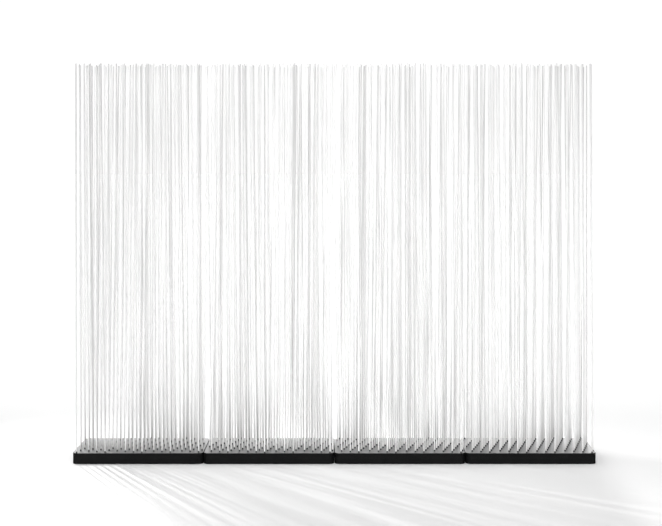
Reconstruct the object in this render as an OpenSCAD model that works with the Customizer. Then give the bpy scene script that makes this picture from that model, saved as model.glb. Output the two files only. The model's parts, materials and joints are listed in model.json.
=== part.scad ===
// Stick room divider: a row of low rubber bases, each planted with a field of thin upright sticks.
// Millimetres, +Z up, +X to the right along the row, +Y away from the viewer.
// The origin is on the floor, under the middle of the row.

/* [Row] */
// How many bases stand side by side
base_count = 4; // [1:1:4]
// Gap between two neighbouring bases
base_gap = 2; // [1:0.5:20]
// Which base stands turned end for end, counted from the left (0 for none)
turned_base = 1; // [0:1:4]

/* [Base] */
// Width of one base along the row
base_w = 601; // [500:1:640]
// Depth of one base, front to back
base_d = 318; // [260:1:340]
// Thickness of the rubber slab
base_t = 50; // [40:1:80]
// Radius of the corners, seen from above
corner_r = 24; // [10:1:60]
// Width of the bevel along the top and bottom edges
edge_bevel = 1.5; // [0.5:0.25:2]

/* [Hole pattern] */
// Distance between neighbouring holes of the square pattern
hole_pitch = 41.2; // [38:0.1:60]
// How far the pattern is turned, in degrees
pattern_turn = 15.95; // [5:0.05:20]
// The pattern's starting hole, from the left side of the base
first_hole_x = 33; // [20:0.5:60]
// The pattern's starting hole, from the front of the base
first_hole_y = 37.5; // [20:0.5:60]
// Least width of rubber between the mouth of a hole and the rim of the base
rim_wall = 1.9; // [1.7:0.1:20]

/* [Hole] */
// Rubber left under each hole
hole_floor = 12; // [6:0.5:20]
// Height of the straight seat at the bottom of the hole, which holds the stick
seat_h = 12; // [6:0.5:16]
// Gap all round a stick in its seat
seat_gap = 0.4; // [0.35:0.05:0.6]
// Gap left under a stick's foot, so that it can rock
foot_gap = 0.25; // [0.2:0.05:0.5]
// How much wider than the seat the flared mouth opens, all round
mouth_flare = 1.2; // [1.1:0.05:1.5]

/* [Stick] */
// Thickness of a stick
stick_d = 6; // [4:0.1:6.5]
// Full length of a stick
stick_l = 1830; // [1000:5:2000]
// Bevel at both ends of a stick
stick_bevel = 0.6; // [0.2:0.1:1.5]

/* [Lean] */
// Sideways drift of the stick tops that neighbours share, as a sum of long waves
lean_drift = 19; // [0:0.5:19]
// Length of those waves
drift_wave = 430; // [400:10:900]
// Extra lean of each stick by itself, measured at its top
lean_scatter = 11; // [0:0.5:11]

/* [Hidden] */
$fn = 32;
rubber_color = "#1b1c1e";
stick_color = "#eef0f0";
stick_r = stick_d / 2;
seat_r = stick_r + seat_gap;
mouth_r = seat_r + mouth_flare;
hole_inset = mouth_r + rim_wall;
// every stick rocks about the middle of its seat
rock_z = hole_floor + seat_h / 2;
foot_z = hole_floor + foot_gap;
stick_reach = stick_l - (rock_z - foot_z);
row_pitch = base_w + base_gap;
// turning the golden angle from stick to stick never lines two leans up
golden_turn = 137.508;
golden_part = 0.618034;
// degrees by which the shared drift sets in anew from one base to the next
drift_step = 195;
// steps of the pattern to search, enough to cover a base from corner to corner
search = ceil(norm([base_w, base_d]) / hole_pitch) + 1;

// Middle of hole i of pattern line j, from the base's left front corner
function hole_at(i, j) = [
    first_hole_x + hole_pitch * (i * cos(pattern_turn) + j * sin(pattern_turn)),
    first_hole_y + hole_pitch * (j * cos(pattern_turn) - i * sin(pattern_turn))
];

// How far a place lies inside the rounded outline of a base, below 0 outside it
function inset(p) =
    let (from_side = base_w / 2 - abs(p.x - base_w / 2))
    let (from_end = base_d / 2 - abs(p.y - base_d / 2))
    let (in_corner = from_side < corner_r && from_end < corner_r)
    in_corner ? corner_r - norm([corner_r - from_side, corner_r - from_end]) : min(from_side, from_end);

// The holes of pattern line j that fall on the base, each as [i, middle]
function holes_in_line(j) = [
    for (i = [-search : search])
        let (p = hole_at(i, j))
            if (inset(p) >= hole_inset) [i, p]
];

// Pattern lines that hold at least one stick, front to back
lines = [for (j = [-search : search]) if (len(holes_in_line(j)) > 0) j];

function limited(v, low, high) = max(low, min(high, v));

// Whether another base stands at this end of a base, -1 for its own left end and 1 for its right
function has_neighbour(base, end) =
    let (next = base + (base == turned_base ? -end : end))
    next >= 1 && next <= base_count;

// How far past that end a stick may lean: freely above a neighbour, but not past the row's ends
function lean_room(base, end) = has_neighbour(base, end) ? lean_drift + lean_scatter : -stick_d;

// How far the top of a stick leans from its foot, kept above the outline of the whole row
function lean(p, i, j, base) =
    let (n = 1 + abs(i) * len(lines) + abs(j) + base)
    let (along = 360 * (p.x + 0.8 * p.y) / drift_wave + drift_step * base)
    let (across = 360 * (p.x - 1.3 * p.y) / (1.4 * drift_wave))
    let (own = lean_scatter * sqrt(n * golden_part % 1))
    let (x = lean_drift * sin(along) + own * cos(golden_turn * n))
    let (y = lean_drift * cos(across) + own * sin(golden_turn * n))
    [
        limited(x, -lean_room(base, -1) - p.x, base_w + lean_room(base, 1) - p.x),
        limited(y, stick_d - p.y, base_d - stick_d - p.y)
    ];

// Stands its child, drawn from a base's left front corner, at that base's place in the row
module in_row(base) {
    translate([(base - (base_count + 1) / 2) * row_pitch, 0, 0])
        rotate(base == turned_base ? 180 : 0)
            translate([-base_w / 2, -base_d / 2, 0])
                children();
}

// Cross-section of the slab, a rectangle with bevelled corners
module slab_section(width) {
    polygon([
        [edge_bevel, 0], [width - edge_bevel, 0], [width, edge_bevel],
        [width, base_t - edge_bevel], [width - edge_bevel, base_t],
        [edge_bevel, base_t], [0, base_t - edge_bevel], [0, edge_bevel]
    ]);
}

module slab_corner() {
    rotate_extrude()
        polygon([
            [0, 0], [corner_r - edge_bevel, 0], [corner_r, edge_bevel],
            [corner_r, base_t - edge_bevel], [corner_r - edge_bevel, base_t], [0, base_t]
        ]);
}

// Rounded slab with bevelled edges, from its left front corner
module slab() {
    translate([corner_r, 0, 0])
        rotate([90, 0, 90])
            linear_extrude(base_w - 2 * corner_r) slab_section(base_d);
    translate([0, base_d - corner_r, 0])
        rotate([90, 0, 0])
            linear_extrude(base_d - 2 * corner_r) slab_section(base_w);
    for (x = [corner_r, base_w - corner_r], y = [corner_r, base_d - corner_r])
        translate([x, y, 0]) slab_corner();
}

// One stick hole: a straight seat that flares to the mouth, drawn as what is cut away
module hole() {
    over = 1;
    flare_h = base_t - hole_floor - seat_h;
    rotate_extrude()
        polygon([
            [0, hole_floor], [seat_r, hole_floor], [seat_r, hole_floor + seat_h],
            [mouth_r, base_t], [mouth_r + over * mouth_flare / flare_h, base_t + over],
            [0, base_t + over]
        ]);
}

module base(number) {
    color(rubber_color)
        in_row(number)
            difference() {
                slab();
                for (j = lines, h = holes_in_line(j)) translate(h[1]) hole();
            }
}

// One stick, upright, with its rocking point at the origin
module stick() {
    translate([0, 0, foot_z - rock_z])
        rotate_extrude()
            polygon([
                [0, 0], [stick_r - stick_bevel, 0], [stick_r, stick_bevel],
                [stick_r, stick_l - stick_bevel], [stick_r - stick_bevel, stick_l], [0, stick_l]
            ]);
}

// The sticks of one pattern line on one base, each leaning its own way
module stick_row(number, line) {
    color(stick_color)
        in_row(number)
            for (h = holes_in_line(lines[line])) {
                top = lean(h[1], h[0], lines[line], number);
                translate([h[1].x, h[1].y, rock_z])
                    rotate(atan(norm(top) / stick_reach), [-top.y, top.x, 0])
                        stick();
            }
}

function base_name(number) = str("base_", number);
function row_name(number, line) = str("stick_row_", number, "_", line < 9 ? "0" : "", line + 1);

for (number = [1 : base_count]) base(number);
for (number = [1 : base_count], line = [0 : len(lines) - 1])
    stick_row(number, line);
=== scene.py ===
# %% [markdown]
# A stick room divider stands in a studio: four flat blocks of black rubber, side by side, and in each of
# them a field of thin white rods that sway like reeds. The exact shapes and the joints come from a packed
# construction model, which is loaded first and never changed. This lesson dresses it: it drills the blocks,
# sets the rods, gives both a finish, and lights them.
#
# Everything is in metres. +X runs along the row, +Y away from the viewer, +Z up.

# %% Load the frame
import json
import math
import bpy
import bmesh
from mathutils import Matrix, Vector

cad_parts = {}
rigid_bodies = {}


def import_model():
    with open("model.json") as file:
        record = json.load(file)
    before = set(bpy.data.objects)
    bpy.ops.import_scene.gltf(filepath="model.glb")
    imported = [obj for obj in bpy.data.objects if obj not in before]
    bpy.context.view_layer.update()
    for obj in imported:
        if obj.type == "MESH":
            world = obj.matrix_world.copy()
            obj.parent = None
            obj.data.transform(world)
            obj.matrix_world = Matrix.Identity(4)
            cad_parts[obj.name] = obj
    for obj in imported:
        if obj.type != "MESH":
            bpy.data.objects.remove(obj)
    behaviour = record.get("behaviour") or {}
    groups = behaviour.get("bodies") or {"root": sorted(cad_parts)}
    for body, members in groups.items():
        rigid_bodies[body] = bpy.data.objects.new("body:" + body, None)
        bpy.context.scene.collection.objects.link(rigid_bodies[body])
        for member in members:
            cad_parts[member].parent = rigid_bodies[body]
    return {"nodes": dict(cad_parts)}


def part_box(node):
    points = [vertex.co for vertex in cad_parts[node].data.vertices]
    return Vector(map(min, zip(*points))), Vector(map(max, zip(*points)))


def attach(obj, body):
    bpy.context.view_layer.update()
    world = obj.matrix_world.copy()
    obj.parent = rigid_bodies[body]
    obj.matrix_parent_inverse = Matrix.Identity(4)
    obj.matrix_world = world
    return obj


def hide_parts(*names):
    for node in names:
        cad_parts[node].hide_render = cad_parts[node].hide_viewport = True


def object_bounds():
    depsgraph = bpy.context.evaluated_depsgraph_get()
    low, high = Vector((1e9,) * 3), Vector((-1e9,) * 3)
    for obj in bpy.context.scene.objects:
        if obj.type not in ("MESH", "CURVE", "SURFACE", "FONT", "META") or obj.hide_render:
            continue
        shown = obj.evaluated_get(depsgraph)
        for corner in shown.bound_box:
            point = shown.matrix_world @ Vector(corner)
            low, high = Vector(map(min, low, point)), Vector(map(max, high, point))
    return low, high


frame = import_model()
cad_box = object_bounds()
scene = bpy.context.scene
BASE, ROW = "base_", "stick_row_"
bases = sorted(name for name in frame["nodes"] if name.startswith(BASE))
stick_rows = sorted(name for name in frame["nodes"] if name.startswith(ROW))
print("bases", len(bases), "rows of sticks", len(stick_rows), "box", cad_box)

# %% [markdown]
# The photograph was taken straight from the front, with the camera level at eye height and a hand's width
# right of the middle, so that the narrow gap between the two middle blocks shows dark. A level camera keeps
# the sticks upright in the picture. The row sits low in the frame, so the lens is shifted instead of tilted.
# Values that end in px are in pixels of a picture of 662 by 526, and places count from its top left.

# %% Set the camera
PICTURE_W, PICTURE_H = 662, 526
pixels_per_metre = 217.6     # at the front face of the row
camera_distance = 6.1        # from the front face
eye_height = 1.468
right_of_middle = 0.07
middle_of_row_px = 334.3
horizon_px = 144.7
sensor_mm = 36

row_front = cad_box[0].y
focal_px = pixels_per_metre * camera_distance
camera = bpy.data.objects.new("camera", bpy.data.cameras.new("camera"))
scene.collection.objects.link(camera)
camera.location = (right_of_middle, row_front - camera_distance, eye_height)
camera.rotation_euler = (math.radians(90), 0, 0)
camera.data.sensor_width = sensor_mm
camera.data.lens = focal_px * sensor_mm / PICTURE_W
camera.data.shift_x = (PICTURE_W / 2 - middle_of_row_px - right_of_middle * pixels_per_metre) / PICTURE_W
camera.data.shift_y = (horizon_px - PICTURE_H / 2) / PICTURE_W
camera.data.clip_end = 200
scene.camera = camera
print("lens", round(camera.data.lens, 2), "shift", camera.data.shift_x, camera.data.shift_y)

# %% [markdown]
# A finish and a Geometry Nodes tree are both made of nodes, and many of those nodes only do sums. Writing
# the sums as Python expressions keeps them readable. `Wire` stands for what comes out of a node, and each
# operator on it adds a Math node. `Nodes.add` puts in any other node: its settings first, then its inputs.

# %% Nodes written as sums
class Wire:
    """What comes out of a node. Sums on it add Math nodes to the same tree."""

    def __init__(self, nodes, socket):
        self.nodes, self.socket = nodes, socket

    def sum(self, operation, first, second=0.0):
        return self.nodes.add("ShaderNodeMath", {"operation": operation}, {0: first, 1: second})

    def __add__(self, other): return self.sum("ADD", self, other)
    def __radd__(self, other): return self.sum("ADD", other, self)
    def __sub__(self, other): return self.sum("SUBTRACT", self, other)
    def __rsub__(self, other): return self.sum("SUBTRACT", other, self)
    def __mul__(self, other): return self.sum("MULTIPLY", self, other)
    def __rmul__(self, other): return self.sum("MULTIPLY", other, self)
    def __truediv__(self, other): return self.sum("DIVIDE", self, other)
    def __rtruediv__(self, other): return self.sum("DIVIDE", other, self)
    def __pow__(self, other): return self.sum("POWER", self, other)
    def __gt__(self, other): return self.sum("GREATER_THAN", self, other)
    def __lt__(self, other): return self.sum("LESS_THAN", self, other)
    def __abs__(self): return self.sum("ABSOLUTE", self)
    def least(self, other): return self.sum("MINIMUM", self, other)
    def most(self, other): return self.sum("MAXIMUM", self, other)
    def root(self): return self.sum("SQRT", self)
    def sine(self): return self.sum("SINE", self)
    def cosine(self): return self.sum("COSINE", self)


class Nodes:
    """One node tree, a finish's or a Geometry Nodes group's."""

    def __init__(self, tree):
        self.tree = tree

    def add(self, kind, settings=None, inputs=None, out=0):
        """A new node with these settings and inputs. `out` is the name or number of the output to use."""
        node = self.tree.nodes.new(kind)
        for name, value in (settings or {}).items():
            setattr(node, name, value)
        for name, value in (inputs or {}).items():
            if isinstance(value, Wire):
                self.tree.links.new(value.socket, node.inputs[name])
            else:
                node.inputs[name].default_value = value
        return Wire(self, node.outputs[out])

    def parts(self, vector):
        """The x, y and z of a vector."""
        x = self.add("ShaderNodeSeparateXYZ", inputs={0: vector})
        return x, Wire(self, x.socket.node.outputs[1]), Wire(self, x.socket.node.outputs[2])

    def step(self, value, low, high):
        """0 below low, 1 above high, and a smooth rise between."""
        return self.add("ShaderNodeMapRange", {"interpolation_type": "SMOOTHSTEP"},
                        {"Value": value, "From Min": low, "From Max": high})

    def noise(self, place, scale, detail=2.0, roughness=0.5):
        return self.add("ShaderNodeTexNoise", {},
                        {"Vector": place, "Scale": scale, "Detail": detail, "Roughness": roughness})

    def stretched(self, place, scale):
        """The same place in a pattern that is finer along one axis than another."""
        return self.add("ShaderNodeMapping", {"vector_type": "POINT"}, {"Vector": place, "Scale": scale})

    def mixed(self, share, first, second):
        """A colour between two colours. Sockets go by number here, because several share a name."""
        return self.add("ShaderNodeMix", {"data_type": "RGBA"}, {0: share, 6: first, 7: second}, out=2)


def start_finish(name):
    finish = bpy.data.materials.new(name)
    finish.use_nodes = True
    finish.node_tree.nodes.clear()
    return finish, Nodes(finish.node_tree)


def close_finish(nodes, surface):
    output = nodes.tree.nodes.new("ShaderNodeOutputMaterial")
    nodes.tree.links.new(surface.socket, output.inputs["Surface"])
    print("finish with", len(nodes.tree.nodes), "nodes")


def grey(level, warmth=0.0):
    """A near-neutral colour. A warmth above 0 leans to yellow, below 0 to blue."""
    return (level * (1 + warmth), level, level * (1 - warmth), 1)


# %% [markdown]
# The blocks are moulded from black rubber. Such a surface is never one flat black: the mould leaves a fine
# grain, the skin is shinier in some places than in others, dust settles on the top and into the grain,
# and every edge is rubbed a little greyer. The grain could be modelled, but it is only a quarter of a
# millimetre deep, so it belongs in the finish. Edges are found by their direction: only a rounded edge
# faces neither up nor sideways. Seen at a low angle, the top mirrors the bright wall behind and looks light
# grey. A coat that covers only the top gives that. The rounded corners and the two ends are rougher.
#
# The scales of the patterns are in spots per metre, and a roughness runs from 0 to 1.

# %% The finish of black moulded rubber
rubber, n = start_finish("black_moulded_rubber")
place = n.add("ShaderNodeTexCoord", out="Object")
facing = n.add("ShaderNodeTexCoord", out="Normal")
sideways, _, up = n.parts(facing)

cloud_scale, rub_scale, pit_scale, grain_scale, speck_scale = 9, 45, 420, 900, 1600
grain_depth = 0.00025
mean_roughness = 0.33

clouds = n.noise(place, cloud_scale, 4, 0.6)
grain = n.noise(place, grain_scale, 2, 0.6)
pits = n.add("ShaderNodeTexVoronoi", {"feature": "F1"}, {"Vector": place, "Scale": pit_scale})
specks = n.step(n.noise(place, speck_scale, 1), 0.66, 0.74)
edge = n.step(abs(up).least((1 - up * up).most(0).root()), 0.15, 0.6)
rubbed = edge * n.step(n.noise(place, rub_scale, 3, 0.7), 0.35, 0.65)
top_side = n.step(up, 0.7, 0.98)
turned_sideways = n.step(abs(sideways), 0.2, 0.8)
dust = top_side * n.step(clouds, 0.35, 0.75)

skin = n.mixed(clouds, grey(0.0015, -0.1), grey(0.004, -0.06))
skin = n.mixed(dust * 0.35, skin, grey(0.075, 0.02))
skin = n.mixed(specks * (0.18 + 0.3 * top_side), skin, grey(0.16))
skin = n.mixed(rubbed * 0.5, skin, grey(0.07))
relief = n.add("ShaderNodeBump", {}, {
    "Strength": 0.35, "Distance": grain_depth,
    "Height": grain * 0.6 + pits * 0.4 + clouds * 0.5})
close_finish(n, n.add("ShaderNodeBsdfPrincipled", {}, {
    "Base Color": skin,
    "Roughness": mean_roughness + 0.12 * clouds + 0.14 * dust + 0.1 * rubbed + 0.55 * turned_sideways,
    "IOR": 1.5,
    "Specular IOR Level": 0.14,
    "Coat Weight": top_side * (0.72 + 0.28 * n.step(clouds, 0.35, 0.65)),
    "Coat Roughness": 0.5,
    "Coat IOR": 1.9,
    "Normal": relief}))

# %% [markdown]
# The sticks are drawn from white glass fibre. The fibres run the whole length, so the surface has faint
# streaks along it, and each stick comes out of the die in a slightly other white. Near the block they are
# handled and dusty, and a sawn end shows the fibres themselves, duller and darker. The foot, up to a few
# millimetres above the block, is coloured black. Every stick carries its own number, which the tree that
# makes the sticks stores on it and which sets its grey. Most sticks are near white and a few are greyer:
# beyond the slight difference in white, that grey is painted shade, for sticks kept in shadow by others.

# %% The finish of white glass fibre
white, n = start_finish("white_glass_fibre")
place = n.add("ShaderNodeTexCoord", out="Object")
facing = n.add("ShaderNodeTexCoord", out="Normal")
_, _, up = n.parts(facing)
_, _, height = n.parts(place)
# each stick's own number, which sets its grey: a slight real difference in white, widened into painted shade
tone_and_painted_shade = n.add("ShaderNodeAttribute", {"attribute_name": "tone_and_painted_shade"}, out="Fac")

streak_scale, patch_scale, fibre_scale = 1400, 14, 5200
block_top, handled_to, black_foot_top = 0.05, 0.13, 0.0565
streak_depth = 0.00012

streaks = n.noise(n.stretched(place, (1, 1, 0.004)), streak_scale, 2, 0.6)
patches = n.noise(n.stretched(place, (1, 1, 0.25)), patch_scale, 3, 0.6)
low_down = 1 - n.step(height, block_top, handled_to)
sawn = n.step(abs(up), 0.6, 0.9)
fibres = n.noise(place, fibre_scale, 1)

# the sticks' greys: beyond a slight real difference in white, painted shade for sticks in their neighbours'
# shadow
coat = n.mixed(tone_and_painted_shade ** 2, grey(0.92), grey(0.60))
coat = n.mixed(n.step(streaks, 0.3, 0.8) * 0.16, coat, grey(0.60, 0.02))
coat = n.mixed(low_down * patches * 0.35, coat, grey(0.42, 0.05))
coat = n.mixed(sawn * (0.45 + 0.5 * fibres), coat, grey(0.34, 0.06))
# the foot is coloured black up to a few millimetres above the block
coat = n.mixed(height < black_foot_top, coat, grey(0.012, -0.05))
relief = n.add("ShaderNodeBump", {}, {
    "Strength": 0.1, "Distance": streak_depth, "Height": streaks + sawn * fibres})
close_finish(n, n.add("ShaderNodeBsdfPrincipled", {}, {
    "Base Color": coat,
    "Roughness": 0.3 + 0.12 * patches + 0.3 * sawn + 0.1 * low_down,
    "IOR": 1.5,
    "Normal": relief}))

# %% [markdown]
# Where the sticks stand is not written down again here. Each row of the construction model is a set of
# straight rods, so each rod's axis is measured from its own mesh: the middle of its foot and of its top.
# A copy of the mesh is merged first, because an imported model is loose triangles, and then it is walked
# from corner to corner until a whole rod has been found.

# %% Measure the sticks
def rods_in(node):
    """The (foot, top) of every rod of a row."""
    shape = bmesh.new()
    shape.from_mesh(frame["nodes"][node].data)
    bmesh.ops.remove_doubles(shape, verts=shape.verts, dist=1e-5)
    waiting, rods = set(shape.verts), []
    while waiting:
        found, edge_of_search = set(), [waiting.pop()]
        while edge_of_search:
            corner = edge_of_search.pop()
            found.add(corner)
            for link in corner.link_edges:
                other = link.other_vert(corner)
                if other in waiting:
                    waiting.remove(other)
                    edge_of_search.append(other)
        places = [corner.co for corner in found]
        half = (min(p.z for p in places) + max(p.z for p in places)) / 2
        low = [p for p in places if p.z < half]
        high = [p for p in places if p.z >= half]
        start, end = sum(low, Vector()) / len(low), sum(high, Vector()) / len(high)
        along = (end - start).normalized()
        reach = [(p - start).dot(along) for p in places]
        rods.append((start + along * min(reach), start + along * max(reach)))
    shape.free()
    return sorted(rods, key=lambda rod: rod[0].x)


rods = {row: rods_in(row) for row in stick_rows}
lengths = [(top - foot).length for row in rods.values() for foot, top in row]
print("sticks", len(lengths), "lengths", round(min(lengths), 4), round(max(lengths), 4))

# %% [markdown]
# Four hundred and twenty-four sticks follow one rule, so Geometry Nodes make them. The input is only an
# edge from foot to top for each stick. The tree turns every edge into a curve, spaces the rings so that
# the outer ones sit at the bevel of each end, bends the stick by up to about a millimetre, because a drawn
# rod is never quite straight, and sweeps a circle along it. Few rings and sides are enough: what repeats
# so often has to stay light.

# %% The tree that makes the sticks
def start_tree(name, inputs):
    """A Geometry Nodes group with a geometry input, these named inputs, and a geometry output."""
    tree = bpy.data.node_groups.new(name, "GeometryNodeTree")
    tree.interface.new_socket("Geometry", in_out="INPUT", socket_type="NodeSocketGeometry")
    for label, kind in inputs.items():
        tree.interface.new_socket(label, in_out="INPUT", socket_type="NodeSocket" + kind)
    tree.interface.new_socket("Geometry", in_out="OUTPUT", socket_type="NodeSocketGeometry")
    entry = tree.nodes.new("NodeGroupInput")
    nodes = Nodes(tree)
    return tree, nodes, {socket.name: Wire(nodes, socket) for socket in entry.outputs if socket.name}


def close_tree(nodes, shape, material):
    """Every tree ends with real geometry and its finish."""
    shape = nodes.add("GeometryNodeRealizeInstances", {}, {"Geometry": shape})
    shape = nodes.add("GeometryNodeSetMaterial", {}, {"Geometry": shape, "Material": material})
    output = nodes.tree.nodes.new("NodeGroupOutput")
    nodes.tree.links.new(shape.socket, output.inputs["Geometry"])
    print("tree", nodes.tree.name, "with", len(nodes.tree.nodes), "nodes")


stick_tree, g, given = start_tree("make_sticks", {
    "Stick radius": "Float", "End bevel": "Float", "Bow": "Float",
    "Rings": "Int", "Sides": "Int", "Seed": "Int", "Finish": "Material"})
radius, bevel, rings = given["Stick radius"], given["End bevel"], given["Rings"]

axes = g.add("GeometryNodeMeshToCurve", {}, {"Mesh": given["Geometry"]})
length = g.add("GeometryNodeSplineLength")
stick_number = g.add("GeometryNodeCurveOfPoint")
along = g.add("GeometryNodeSplineParameter", out="Length")
ring = g.add("GeometryNodeSplineParameter", out="Index")

curve = g.add("GeometryNodeResampleCurve", {"mode": "COUNT"}, {"Curve": axes, "Count": rings})
station = (bevel + (ring - 1) * (length - 2 * bevel) / (rings - 3)).most(0).least(length)
tangent = g.add("GeometryNodeInputTangent")
slide = g.add("ShaderNodeVectorMath", {"operation": "SCALE"}, {0: tangent, "Scale": station - along})
curve = g.add("GeometryNodeSetPosition", {}, {"Geometry": curve, "Offset": slide})

# each random value has a seed of its own, and sockets 2 and 3 hold its least and its most
side = g.add("FunctionNodeRandomValue", {"data_type": "FLOAT"}, {
    2: 0.0, 3: 2 * math.pi, "ID": stick_number, "Seed": given["Seed"]}, out=1)
share = g.add("FunctionNodeRandomValue", {"data_type": "FLOAT"}, {
    2: 0.3, 3: 1.0, "ID": stick_number, "Seed": given["Seed"] + 7}, out=1)
bend = given["Bow"] * share * (math.pi * along / length).sine()
bend_by = g.add("ShaderNodeCombineXYZ", {}, {"X": bend * side.cosine(), "Y": bend * side.sine()})
curve = g.add("GeometryNodeSetPosition", {}, {"Geometry": curve, "Offset": bend_by})

# a number for each stick that sets its grey in the finish: a slight real difference in white, and painted
# shade
tone_and_painted_shade = g.add("FunctionNodeRandomValue", {"data_type": "FLOAT"}, {
    "ID": stick_number, "Seed": given["Seed"] + 31}, out=1)
curve = g.add("GeometryNodeStoreNamedAttribute", {"data_type": "FLOAT", "domain": "POINT"}, {
    "Geometry": curve, "Name": "tone_and_painted_shade", "Value": tone_and_painted_shade})
ring_radius = radius - bevel + along.least(length - along).least(bevel).most(0)
outline = g.add("GeometryNodeCurvePrimitiveCircle", {"mode": "RADIUS"}, {
    "Resolution": given["Sides"], "Radius": 1.0})
shape = g.add("GeometryNodeCurveToMesh", {}, {
    "Curve": curve, "Profile Curve": outline, "Scale": ring_radius, "Fill Caps": True})
_, _, face_up = g.parts(g.add("GeometryNodeInputNormal"))
shape = g.add("GeometryNodeSetShadeSmooth", {"domain": "FACE"}, {
    "Geometry": shape, "Selection": True, "Shade Smooth": abs(face_up) < 0.9})
close_tree(g, shape, given["Finish"])

# %% [markdown]
# A tree is run by a modifier on an object that holds only its input. The result is taken off as a plain
# mesh and the modifier is thrown away, because a part is handed over as meshes. The piece then rides on its
# row's body, so it sways with the joint, and stands in for the plain rods of the model.

# %% Run a tree, and set the sticks
def run_tree(name, corners, edges, faces, tree, values):
    """A plain mesh object made by a tree from this input."""
    input_mesh = bpy.data.meshes.new(name + "_input")
    input_mesh.from_pydata(corners, edges, faces)
    holder = bpy.data.objects.new(name + "_input", input_mesh)
    scene.collection.objects.link(holder)
    modifier = holder.modifiers.new("tree", "NODES")
    modifier.node_group = tree
    sockets = {item.name: item.identifier for item in tree.interface.items_tree if item.in_out == "INPUT"}
    for label, value in values.items():
        modifier[sockets[label]] = value
    holder.update_tag()
    depsgraph = bpy.context.evaluated_depsgraph_get()
    made = bpy.data.meshes.new_from_object(holder.evaluated_get(depsgraph), depsgraph=depsgraph)
    made.name = name
    piece = bpy.data.objects.new(name, made)
    scene.collection.objects.link(piece)
    bpy.data.objects.remove(holder)
    bpy.data.meshes.remove(input_mesh)
    return piece


stick_radius, end_bevel, bow = 0.003, 0.0006, 0.0012
ring_count, stick_sides, first_seed = 8, 12, 100
faces_made = 0
for number, row in enumerate(stick_rows):
    ends = [end for rod in rods[row] for end in rod]
    edges = [(2 * k, 2 * k + 1) for k in range(len(rods[row]))]
    piece = run_tree("sticks_of_" + row[len(ROW):], ends, edges, [], stick_tree, {
        "Stick radius": stick_radius, "End bevel": end_bevel, "Bow": bow,
        "Rings": ring_count, "Sides": stick_sides, "Seed": first_seed + number, "Finish": white})
    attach(piece, row)
    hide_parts(row)
    faces_made += len(piece.data.polygons)
print("faces in all sticks", faces_made, "in one", faces_made / len(lengths))

# %% [markdown]
# A block is a slab with rounded edges and one hole for each stick: a straight seat at the bottom that holds
# the foot, and a flare above it that lets the stick sway. The slab's outline is drawn in Python as a stack
# of rounded rectangles. The holes repeat, so a tree makes one cutter, copies it to every stick, and cuts
# them all at once. It gets the middle of each hole as a loose corner, one with no face around it. The cutter
# is swept like a stick: a circle along an upright line, with a wider ring at the mouth and a small roll at
# the lip.

# %% The tree that drills a block
drill_tree, g, given = start_tree("drill_block", {
    "Seat radius": "Float", "Mouth radius": "Float", "Lip roll": "Float",
    "Floor height": "Float", "Seat top": "Float", "Block height": "Float",
    "Sides": "Int", "Finish": "Material"})
faces_around = g.add("GeometryNodeInputMeshVertexNeighbors", out="Face Count")
centres = g.add("GeometryNodeSeparateGeometry", {"domain": "POINT"}, {
    "Geometry": given["Geometry"], "Selection": faces_around < 1})
block = Wire(g, centres.socket.node.outputs["Inverted"])

top, roll = given["Block height"], given["Lip roll"]
above_block = 0.001     # the cutter ends outside the block, so that it leaves no thin skin
bends = [math.sin(math.radians(turn)) for turn in (30, 60, 90)]
falls = [1 - math.cos(math.radians(turn)) for turn in (30, 60, 90)]
heights = [given["Floor height"], given["Seat top"], top - roll]
heights += [top - roll + roll * rise for rise in bends] + [top + above_block]
widths = [given["Seat radius"], given["Seat radius"], given["Mouth radius"]]
widths += [given["Mouth radius"] + roll * out for out in falls] + [given["Mouth radius"] + 2 * roll]


def by_ring(ring_index, values):
    """The value that belongs to each ring."""
    switch = g.tree.nodes.new("GeometryNodeIndexSwitch")
    switch.data_type = "FLOAT"
    while len(switch.index_switch_items) < len(values):
        switch.index_switch_items.new()
    g.tree.links.new(ring_index.socket, switch.inputs["Index"])
    for k, value in enumerate(values):
        g.tree.links.new(value.socket, switch.inputs[k + 1])
    return Wire(g, switch.outputs[0])


ring = g.add("GeometryNodeSplineParameter", out="Index")
line = g.add("GeometryNodeCurvePrimitiveLine", {}, {"Start": (0, 0, 0), "End": (0, 0, 1)})
line = g.add("GeometryNodeResampleCurve", {"mode": "COUNT"}, {"Curve": line, "Count": len(heights)})
stations = g.add("ShaderNodeCombineXYZ", {}, {"Z": by_ring(ring, heights)})
line = g.add("GeometryNodeSetPosition", {}, {"Geometry": line, "Position": stations})
outline = g.add("GeometryNodeCurvePrimitiveCircle", {"mode": "RADIUS"}, {
    "Resolution": given["Sides"], "Radius": 1.0})
cutter = g.add("GeometryNodeCurveToMesh", {}, {
    "Curve": line, "Profile Curve": outline, "Scale": by_ring(ring, widths), "Fill Caps": True})
cutters = g.add("GeometryNodeInstanceOnPoints", {}, {"Points": centres, "Instance": cutter})
cutters = g.add("GeometryNodeRealizeInstances", {}, {"Geometry": cutters})
drilled = g.add("GeometryNodeMeshBoolean", {"operation": "DIFFERENCE", "solver": "EXACT"}, {
    "Mesh 1": block, "Mesh 2": cutters})
nx, ny, nz = g.parts(g.add("GeometryNodeInputNormal"))
flat = abs(nx).most(abs(ny)).most(abs(nz)) > 0.9999
drilled = g.add("GeometryNodeSetShadeSmooth", {"domain": "FACE"}, {
    "Geometry": drilled, "Selection": True, "Shade Smooth": 1 - flat})
close_tree(g, drilled, given["Finish"])

# %% [markdown]
# The stack of rounded rectangles: the edge is rounded by a quarter circle at the top and at the bottom, and
# each ring of the stack is the same outline, drawn in by what the quarter circle says at that height.

# %% The blocks
corner_radius = 0.024
edge_round = 0.0018
hole_floor, seat_top = 0.012, 0.024
seat_radius, mouth_radius, lip_roll = 0.0034, 0.0046, 0.0004
hole_sides = 24


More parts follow.
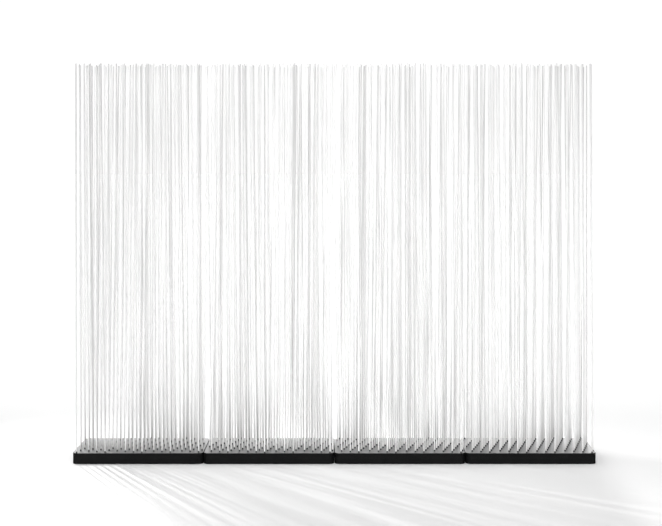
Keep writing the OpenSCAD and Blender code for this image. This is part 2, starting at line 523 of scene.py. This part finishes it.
def outline_at(low, high, drawn_in, per_corner=10):
    """A rounded rectangle between two corners, drawn in all round."""
    points = []
    for turn, (sx, sy) in enumerate(((1, 1), (-1, 1), (-1, -1), (1, -1))):
        middle_x = (high.x if sx > 0 else low.x) - sx * corner_radius
        middle_y = (high.y if sy > 0 else low.y) - sy * corner_radius
        for k in range(per_corner + 1):
            angle = math.radians(90 * (turn + k / per_corner))
            reach = corner_radius - drawn_in
            points.append((middle_x + reach * math.cos(angle), middle_y + reach * math.sin(angle)))
    return points


def block_mesh(low, high, steps=4):
    """Corners and faces of the undrilled block."""
    quarter = [math.radians(90 * k / steps) for k in range(steps + 1)]
    rings = [(low.z + edge_round * (1 - math.sin(a)), edge_round * (1 - math.cos(a))) for a in quarter[::-1]]
    rings += [(high.z - edge_round * (1 - math.sin(a)), edge_round * (1 - math.cos(a))) for a in quarter]
    corners = [(x, y, z) for z, drawn_in in rings for x, y in outline_at(low, high, drawn_in)]
    count = len(corners) // len(rings)
    faces = [list(range(count))[::-1], [count * (len(rings) - 1) + k for k in range(count)]]
    for layer in range(len(rings) - 1):
        for k in range(count):
            a, b = layer * count + k, layer * count + (k + 1) % count
            faces.append([a, b, b + count, a + count])
    return corners, faces


def foot_of(rod, height):
    """Where a rod's axis passes this height: the middle of its hole."""
    foot, top = rod
    return foot + (top - foot) * ((height - foot.z) / (top.z - foot.z))


for name in bases:
    low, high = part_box(name)
    corners, faces = block_mesh(low, high)
    rows_here = [row for row in stick_rows if row[len(ROW)] == name[-1]]
    holes = [foot_of(rod, (hole_floor + seat_top) / 2) for row in rows_here for rod in rods[row]]
    corners += [(hole.x, hole.y, 0) for hole in holes]
    piece = run_tree("block_" + name[-1], corners, [], faces, drill_tree, {
        "Seat radius": seat_radius, "Mouth radius": mouth_radius, "Lip roll": lip_roll,
        "Floor height": hole_floor, "Seat top": seat_top, "Block height": high.z,
        "Sides": hole_sides, "Finish": rubber})
    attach(piece, name)
    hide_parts(name)
    print(piece.name, "holes", len(holes), "faces", len(piece.data.polygons))

# %% [markdown]
# The studio is a pale floor that runs back into a bright white sweep. In the photograph the background is
# just past white. Lamps alone would need to be very strong for that, and would wash out the sticks, so the
# floor gives a little light of its own: most of it behind the row, a touch in front of it, some at the far
# right, and some far off all round, where the lamps hardly reach.

# %% The floor
floor_finish, n = start_finish("pale_floor")
place = n.add("ShaderNodeTexCoord", out="Object")
cloud = n.noise(place, 1.3, 3)
across, back, _ = n.parts(place)
behind = n.step(back, 0.0, 0.35)
near_front = 1 - n.step(back, -0.8, -0.25)
to_the_right = 0.03 * n.step(across, 0.2, 0.8) + 0.18 * n.step(across, 1.1, 1.35)
far_off = n.step((across * across + back * back).root(), 2.0, 4.5)
glow = 0.26 * behind + 0.1 * n.step(back, 0.5, 2) + 0.03 * n.step(back, 1, 20)
glow = glow + (to_the_right + 0.24 * far_off) * (1 - behind) + 0.05 * near_front
close_finish(n, n.add("ShaderNodeBsdfPrincipled", {}, {
    "Base Color": n.mixed(cloud, grey(0.88), grey(0.91)),
    "Roughness": 0.6 + 0.2 * cloud,
    "Specular IOR Level": 0.0,
    "Emission Color": n.add("ShaderNodeCombineXYZ", {}, {"X": glow, "Y": glow, "Z": glow}),
    "Emission Strength": 1.0}))

half_floor = 60
floor_mesh = bpy.data.meshes.new("floor")
floor_corners = [(x * half_floor, y * half_floor, 0) for x, y in ((-1, -1), (1, -1), (1, 1), (-1, 1))]
floor_mesh.from_pydata(floor_corners, [], [(0, 1, 2, 3)])
floor_mesh.materials.append(floor_finish)
floor = bpy.data.objects.new("floor", floor_mesh)
scene.collection.objects.link(floor)
print("floor", floor.dimensions.x, "by", floor.dimensions.y)

# %% [markdown]
# The sweep itself is the world's background. It could be one even white, but the rubber mirrors it, and in
# the photograph its tops mirror something brighter than the white that the eye sees, most likely a lit
# panel behind the set. So the background has three strengths: a low one that fills the shadows, just past
# white where it is looked at, and a bright band above the horizon behind the row for reflections.

# %% The sweep
world = bpy.data.worlds.new("studio")
scene.world = world
world.use_nodes = True
world.node_tree.nodes.clear()
n = Nodes(world.node_tree)
seen = n.add("ShaderNodeLightPath", out="Is Camera Ray")
mirrored = n.add("ShaderNodeLightPath", out="Is Glossy Ray")
across, back, above = n.parts(n.add("ShaderNodeTexCoord", out="Generated"))
fill, white_level = 0.2, 1.03
panel_level, wall_level, less_elsewhere = 3.0, 0.7, 0.1
panel = n.step(back, 0.3, 0.8) * n.step(above, 0.06, 0.16) * (0.6 + 0.4 * n.step(across, -0.1, 0.15))
bright = panel_level * panel + wall_level * n.step(back, 0, 0.3) - less_elsewhere
glow = n.add("ShaderNodeBackground", {}, {
    "Color": (1, 1, 1, 1), "Strength": fill + (white_level - fill) * seen + mirrored * bright})
sky = n.tree.nodes.new("ShaderNodeOutputWorld")
n.tree.links.new(glow.socket, sky.inputs["Surface"])
print("background with", len(n.tree.nodes), "nodes")

# %% [markdown]
# Three lamps light the row. The key stands high behind it on the left and draws the faint streaks of
# shadow that run to the front right. A front lamp stands below the camera, so that each stick the camera
# sees is lit: from any other side the sticks in front would shade those behind. It lights only the object,
# because it would leave a bright pool on the floor. A wide soft ceiling light fills the rest.

# %% The lamps
def set_lamp(kind, name, power, place, towards, size):
    """A lamp at a place, pointing at another. Its size, for a sun an angle, softens the shadows."""
    data = bpy.data.lights.new(name, kind)
    data.energy = power
    if kind == "SPOT":
        data.shadow_soft_size, data.spot_blend = size / 2, 1.0
    else:
        data.angle = size
    lamp = bpy.data.objects.new(name, data)
    scene.collection.objects.link(lamp)
    lamp.location = place
    lamp.rotation_euler = (Vector(towards) - Vector(place)).to_track_quat("-Z", "Y").to_euler()
    return lamp


key = set_lamp("SPOT", "key_light", power=450, place=(-2.17, 1.71, 3.4), towards=(0.1, -2.3, 0), size=0.08)
key.data.spot_size = math.radians(78)
below_camera = (right_of_middle, camera.location.y, 0.3)
front = set_lamp("SPOT", "front_light", power=1290, place=below_camera, towards=(0.25, 0, 0.5), size=0.5)
front.data.spot_size = math.radians(44)
front.visible_glossy = False
set_lamp("SUN", "ceiling_light", power=1.7, place=(0, 0, 5), towards=(0, 0, 0), size=math.radians(20))

lit_by_front = bpy.data.collections.new("lit_by_front_light")
for piece in scene.objects:
    if piece.type == "MESH" and piece is not floor:
        lit_by_front.objects.link(piece)
front.light_linking.receiver_collection = lit_by_front

scene.view_settings.view_transform = "Standard"
